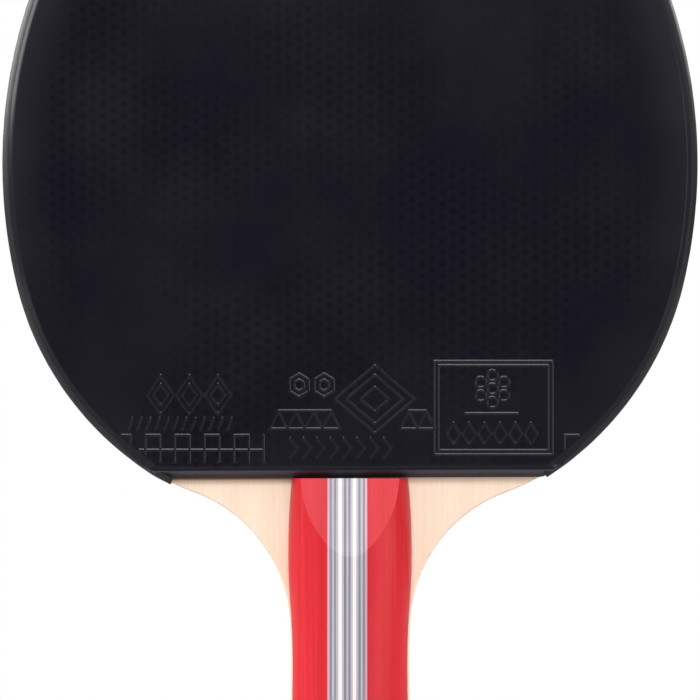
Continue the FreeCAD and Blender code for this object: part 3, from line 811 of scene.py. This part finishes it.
def rubber_sheet(name, node, side, material):
    """The rubber top sheet: sloping rim, slanted cut with its ridge, and moulded marks."""
    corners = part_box(node)
    glued, face = sorted(abs(corner.y) for corner in corners)
    low = corners[0].z
    curve = head_side(node, side, glued)
    made = FaceMesh(side)
    rings, face_foot = edge_rings(made, curve, low, glued, face)
    for (_, lower), (_, upper) in zip(rings, rings[1:]):
        made.bridge(lower, upper)
    outer_points, outer = rings[0]
    made.fill(outer, outer_points, outwards=False)
    border_points, border = rings[-1]
    lines = all_marks()
    points, inset = face_points(curve, lines, face_foot)
    off_line = np.clip(line_distance(points, lines) / MARK_HALF_WIDTH, 0.0, 1.0)
    ridge = MARK_HEIGHT * (0.5 + 0.5 * np.cos(np.pi * off_line))
    levels = face - sag(inset, points[:, 1] - low) + ridge
    made.fill(border, border_points, points, made.add(points, levels))
    return made.piece(name, material, [node])


SPONGE_LAYERS = 10
SPONGE_INSET = 0.02 * MM        # how far in its side lies at both faces
SPONGE_HOLLOW = 0.06 * MM       # and how much further half-way
SPONGE_WOBBLE = 0.05 * MM       # unevenness of the cut
SPONGE_WAVE = 0.5 * MM


def sponge_sheet(name, node, side, material):
    """The sponge: its cut edge is slanted like the rubber's and slightly uneven."""
    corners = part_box(node)
    glued, top = sorted(abs(corner.y) for corner in corners)
    low = corners[0].z
    lower_curve = head_side(node, side, glued)
    upper_low = min(up for across, up in face_outline(node, side, top))
    made = FaceMesh(side)
    rings = []
    for layer in range(SPONGE_LAYERS + 1):
        part = layer / SPONGE_LAYERS
        level = low + (upper_low - low) * part
        inset = SPONGE_INSET + SPONGE_HOLLOW * math.sin(math.pi * part)
        points = ring_points(lower_curve, inset, level)
        depth = glued + (top - glued) * part
        depths = np.full(len(points), depth)
        if 0 < layer < SPONGE_LAYERS:
            for index, (across, up) in enumerate(points):
                wobble = noise.noise(Vector((across, up, depth)) / SPONGE_WAVE)
                points[index, 1] += SPONGE_WOBBLE * wobble
        rings.append((points, made.add(points, depths)))
    for (_, lower), (_, upper) in zip(rings, rings[1:]):
        made.bridge(lower, upper)
    made.fill(rings[0][1], rings[0][0], outwards=False)
    made.fill(rings[-1][1], rings[-1][0])
    return made.piece(name, material, [node])


# ---------------------------------------------------------------- the edge tape


TAPE_STEPS = 420
SECTION_STEPS = 14
SECTION_POWER = 0.6             # crowds the section's points towards the tape's two edges
STAND_LIMIT = 0.5 * MM          # the most that the rubber may stand out past the blade
STAND_BLEND = 0.3 * MM          # half the width of the step from the blade to the rubber
TAPE_EDGE = 1.0 * MM            # how far in from its two edges the tape thins out
TAPE_EDGE_LOSS = 0.9            # and the share of its thickness that it loses there
PUCKER = 0.03 * MM
PUCKER_WAVE = 2.5 * MM


def rim_inset(depth, face):
    """How far in the rubber's sloping rim lies at a depth."""
    drop = np.clip((face - SAG_DROP - depth) / RIM_DROP, 0.0, 1.0)
    turn = math.asin((1 - drop) ** (1 / RIM_POWER))
    return RIM_WIDTH * (1 - math.cos(turn) ** RIM_POWER)


def standing_past(station, outwards, curve):
    """How far the rubber stands out past the blade at a station on the blade's outline."""
    nearest = curve[np.linalg.norm(curve - station, axis=1).argmin()]
    return float(np.clip((nearest - station) @ outwards, 0.0, STAND_LIMIT))


def tape_section(half_width, thickness, face, glued, stands):
    """The tape's closed section as (outset, depth) pairs: its outside, then its inside.

    It hugs the blade, steps out where the rubber stands past it, and curls over the rims."""
    outer, inner = [], []
    for step in range(SECTION_STEPS + 1):
        lean = math.cos(math.pi * step / SECTION_STEPS)
        depth = half_width * math.copysign(abs(lean) ** SECTION_POWER, lean)
        stand = stands[0] if depth > 0 else stands[1]
        lift = stand * smoothstep(abs(depth), glued - STAND_BLEND, glued + STAND_BLEND)
        bed = lift - rim_inset(abs(depth), face)
        past = max(0.0, abs(depth) - (half_width - TAPE_EDGE)) / TAPE_EDGE
        outer.append((bed + thickness * (1 - TAPE_EDGE_LOSS * past), depth))
        inner.append((bed, depth))
    return outer + inner[-2:0:-1]


def tape_strip(name, node, material):
    """The cloth tape round the head's edge, from one side of the handle to the other."""
    vertices = [vertex.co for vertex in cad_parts[node].data.vertices]
    left_end = min(place.z for place in vertices if place.x < 0)
    right_end = min(place.z for place in vertices if place.x > 0)
    half_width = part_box(node)[1].y
    blade = head_side("core_ply", FRONT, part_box("core_ply")[1].y)
    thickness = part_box(node)[1].x - blade[:, 0].max()
    glued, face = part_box("back_top_sheet")[0].y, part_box("back_top_sheet")[1].y
    sponge_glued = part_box("back_sponge")[0].y
    front = head_side("front_top_sheet", FRONT, glued)
    back = head_side("back_top_sheet", BACK, glued) * (-1, 1)
    line = evenly(cut_above(blade, left_end, right_end), TAPE_STEPS)
    along = np.gradient(line, axis=0)
    along /= np.linalg.norm(along, axis=1)[:, None]
    outwards = np.stack([-along[:, 1], along[:, 0]], axis=1)
    made = FaceMesh(FRONT)
    rings = []
    for station, out in zip(line, outwards):
        stands = [standing_past(station, out, curve) for curve in (front, back)]
        points, depths = [], []
        for outset, depth in tape_section(half_width, thickness, face, sponge_glued, stands):
            pucker = PUCKER * noise.noise(Vector((station[0], station[1], depth)) / PUCKER_WAVE)
            points.append(station + out * (outset + pucker))
            depths.append(depth)
        rings.append(made.add(points, depths))
    for lower, upper in zip(rings, rings[1:]):
        made.bridge(lower, upper)
    made.faces.append(tuple(rings[0]))
    made.faces.append(tuple(rings[-1][::-1]))
    return made.piece(name, material, [node])


# ---------------------------------------------------------------- dressing the CAD nodes


def dress(node, material):
    """Gives a CAD node its material."""
    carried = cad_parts[node]
    for slot in carried.material_slots:
        slot.material = material


def dress_plies():
    """The five plies of the blade."""
    cross = ply_wood("cross_wood_look", pale=rgba(0.60, 0.40, 0.24), dark=rgba(0.42, 0.26, 0.14),
                     edge_tone=rgba(0.50, 0.32, 0.18))
    core = ply_wood("core_wood_look", pale=rgba(0.76, 0.56, 0.36), dark=rgba(0.60, 0.41, 0.25),
                    edge_tone=rgba(0.72, 0.52, 0.34))
    dress("core_ply", core)
    for end, side in (("front", FRONT), ("back", BACK)):
        # Each face veneer gets a painted shadow in warm brown under the rubber's cut.
        face = ply_wood(f"{end}_face_look", pale=rgba(0.76, 0.60, 0.475), dark=rgba(0.70, 0.53, 0.40),
                        edge_tone=rgba(0.74, 0.56, 0.42), side=side, cut_shadow=rgba(0.20, 0.085, 0.035))
        dress(f"{end}_face_ply", face)
        dress(f"{end}_cross_ply", cross)


def dress_blocks():
    """The red blocks of the handle, each with a glue seam where it meets the veneers."""
    for node in ("front_left_block", "front_right_block", "back_left_block", "back_right_block"):
        low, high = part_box(node)
        seam = high.x if abs(high.x) < abs(low.x) else low.x
        look = dyed_wood(f"{node}_look", light=rgba(0.53, 0.018, 0.027), deep=rgba(0.45, 0.010, 0.016),
                         seams=[seam], seam_colour=rgba(0.36, 0.02, 0.05))
        dress(node, look)


def dress_veneers():
    """The grey and white veneers. Red dye has bled into the outermost ones."""
    looks = {
        "light_grey_veneer": dyed_wood("light_grey_look", light=rgba(0.42, 0.405, 0.445),
                                       deep=rgba(0.34, 0.325, 0.365)),
        "dark_grey_veneer": dyed_wood("dark_grey_look", light=rgba(0.23, 0.22, 0.255),
                                      deep=rgba(0.165, 0.155, 0.19)),
        "white_veneer": dyed_wood("white_look", light=rgba(0.74, 0.68, 0.66), deep=rgba(0.64, 0.58, 0.56)),
    }
    bled = dyed_wood("bled_grey_look", light=rgba(0.58, 0.33, 0.40), deep=rgba(0.46, 0.22, 0.30))
    for end in ("front", "back"):
        strips = sorted(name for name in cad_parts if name.startswith(f"{end}_veneer_"))
        for node in strips:
            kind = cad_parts[node].material_slots[0].material.name.split(".")[0]
            dress(node, looks[kind])
        for node in (strips[0], strips[-1]):
            dress(node, bled)


# ---------------------------------------------------------------- studio


VIEW_WIDTH = 152.4 * MM         # width of the picture at the paddle's middle plane
VIEW_UP = 77.8 * MM             # the level that the camera stands at
CAMERA_DISTANCE = 1.2
SENSOR = 36.0                   # width of the camera's film, mm
AIM = Vector((0.0, 0.0, 0.09))  # the place that every light points at
FLOOR_RADIUS = 0.8
FLOOR_CORNERS = 96
FLOOR_GAP = 0.02 * MM


def camera():
    """Looks straight at the front, at the height of the lower head."""
    data = bpy.data.cameras.new("camera")
    data.sensor_width = SENSOR
    data.lens = SENSOR * CAMERA_DISTANCE / VIEW_WIDTH
    data.clip_start = 0.05
    data.clip_end = 20
    made = bpy.data.objects.new("camera", data)
    made.location = (0.0, -CAMERA_DISTANCE, VIEW_UP)
    made.rotation_euler = (math.pi / 2, 0, 0)
    bpy.context.scene.collection.objects.link(made)
    bpy.context.scene.camera = made


def softbox(name, place, width, height, radiance):
    """An area light of a given radiance, aimed at the lower middle of the head."""
    data = bpy.data.lights.new(name, "AREA")
    data.shape = "RECTANGLE"
    data.size = width
    data.size_y = height
    data.energy = radiance * math.pi * width * height
    made = bpy.data.objects.new(name, data)
    made.location = place
    made.rotation_euler = (AIM - Vector(place)).to_track_quat("-Z", "Y").to_euler()
    bpy.context.scene.collection.objects.link(made)


def backdrop():
    """White all round for the camera. As light it is dim near the floor and bright overhead."""
    world = bpy.data.worlds.new("studio")
    bpy.context.scene.world = world
    world.use_nodes = True
    tree = world.node_tree
    tree.nodes.clear()
    direction = tree.nodes.new("ShaderNodeTexCoord").outputs["Generated"]
    split = tree.nodes.new("ShaderNodeSeparateXYZ")
    tree.links.new(direction, split.inputs[0])
    level = tree.nodes.new("ShaderNodeMapRange")
    level.interpolation_type = "SMOOTHSTEP"
    for key, value in (("From Min", 0.0), ("From Max", 0.8), ("To Min", 0.12), ("To Max", 0.5)):
        level.inputs[key].default_value = value
    tree.links.new(split.outputs["Z"], level.inputs["Value"])
    light = tree.nodes.new("ShaderNodeBackground")
    tree.links.new(level.outputs[0], light.inputs["Strength"])
    white = tree.nodes.new("ShaderNodeBackground")
    white.inputs["Color"].default_value = rgba(1.0, 1.0, 1.0)
    seen = tree.nodes.new("ShaderNodeLightPath")
    choose = tree.nodes.new("ShaderNodeMixShader")
    tree.links.new(seen.outputs["Is Camera Ray"], choose.inputs[0])
    tree.links.new(light.outputs[0], choose.inputs[1])
    tree.links.new(white.outputs[0], choose.inputs[2])
    output = tree.nodes.new("ShaderNodeOutputWorld")
    tree.links.new(choose.outputs[0], output.inputs["Surface"])


def floor():
    """A round pale floor under the butt, which turns paler towards its rim."""
    level = CAD_BOX[0].z - FLOOR_GAP
    vertices = []
    for step in range(FLOOR_CORNERS):
        turn = math.tau * step / FLOOR_CORNERS
        vertices.append((FLOOR_RADIUS * math.cos(turn), FLOOR_RADIUS * math.sin(turn), level))
    mesh = bpy.data.meshes.new("floor")
    mesh.from_pydata(vertices, [], [tuple(range(FLOOR_CORNERS))])
    shader = Shader("floor_look")
    cloud = shader.noise(shader.place, scale=3, detail=1)
    middle = shader.mix(rgba(0.46, 0.46, 0.46), rgba(0.42, 0.42, 0.43), cloud)
    away = shader.add("ShaderNodeVectorMath", {0: shader.place}, operation="LENGTH").outputs["Value"]
    colour = shader.mix(middle, rgba(0.74, 0.74, 0.74), shader.range(away, 0.3, 0.95 * FLOOR_RADIUS))
    look = shader.finish({"Base Color": colour, "Roughness": 0.8, "Specular IOR Level": 0.1})
    mesh.materials.append(look)
    made = bpy.data.objects.new("floor", mesh)
    bpy.context.scene.collection.objects.link(made)


def studio():
    """Camera, floor, backdrop and lights."""
    bpy.context.scene.view_settings.view_transform = "Standard"
    camera()
    floor()
    backdrop()
    softbox("front_top", (0.0, -1.00, 0.80), width=0.9, height=0.34, radiance=13.2)
    softbox("front_low", (0.0, -1.05, 0.50), width=0.5, height=0.12, radiance=5.0)
    softbox("left_side", (-0.95, 0.0, 0.52), width=0.86, height=0.60, radiance=9.5)
    softbox("right_side", (0.95, 0.18, 0.58), width=0.6, height=0.46, radiance=8.5)
    softbox("left_front", (-0.80, -0.85, 0.12), width=0.5, height=0.5, radiance=0.7)
    softbox("right_front", (0.80, -0.85, 0.12), width=0.5, height=0.5, radiance=3.9)
    for hand, side in (("left", -1), ("right", 1)):
        softbox(f"{hand}_back", (side * 0.75, 0.95, 0.62), width=0.6, height=0.5, radiance=5.0)


# ---------------------------------------------------------------- the paddle


def build():
    """Makes every modelled piece, and gives the wooden nodes their materials."""
    # The rubbers' rim colours lighten their rims: partly scuffs, partly a painted sheen.
    black = rubber("black_rubber_look", base=rgba(0.0044, 0.0041, 0.0076),
                   pip_tone=rgba(0.0008, 0.0008, 0.0022), haze=rgba(0.0056, 0.0053, 0.0089),
                   scuff_and_sheen=rgba(0.0145, 0.0142, 0.0185), cut_tone=rgba(0.056, 0.053, 0.073), specular=0.2)
    red = rubber("red_rubber_look", base=rgba(0.50, 0.020, 0.028),
                 pip_tone=rgba(0.43, 0.016, 0.022), haze=rgba(0.54, 0.026, 0.034),
                 scuff_and_sheen=rgba(0.55, 0.040, 0.048), cut_tone=rgba(0.48, 0.030, 0.034), specular=0.4)
    sponge = cellular("sponge_look", base=rgba(0.050, 0.047, 0.052), hollow=rgba(0.013, 0.012, 0.013))
    cloth = woven_tape("edge_tape_look", thread=rgba(0.010, 0.010, 0.013), gap=rgba(0.004, 0.004, 0.006))
    rubber_sheet("front_rubber_sheet", "front_top_sheet", FRONT, black)
    rubber_sheet("back_rubber_sheet", "back_top_sheet", BACK, red)
    sponge_sheet("front_sponge_sheet", "front_sponge", FRONT, sponge)
    sponge_sheet("back_sponge_sheet", "back_sponge", BACK, sponge)
    tape_strip("edge_tape_strip", "edge_tape", cloth)
    dress_plies()
    dress_blocks()
    dress_veneers()


studio()
build()
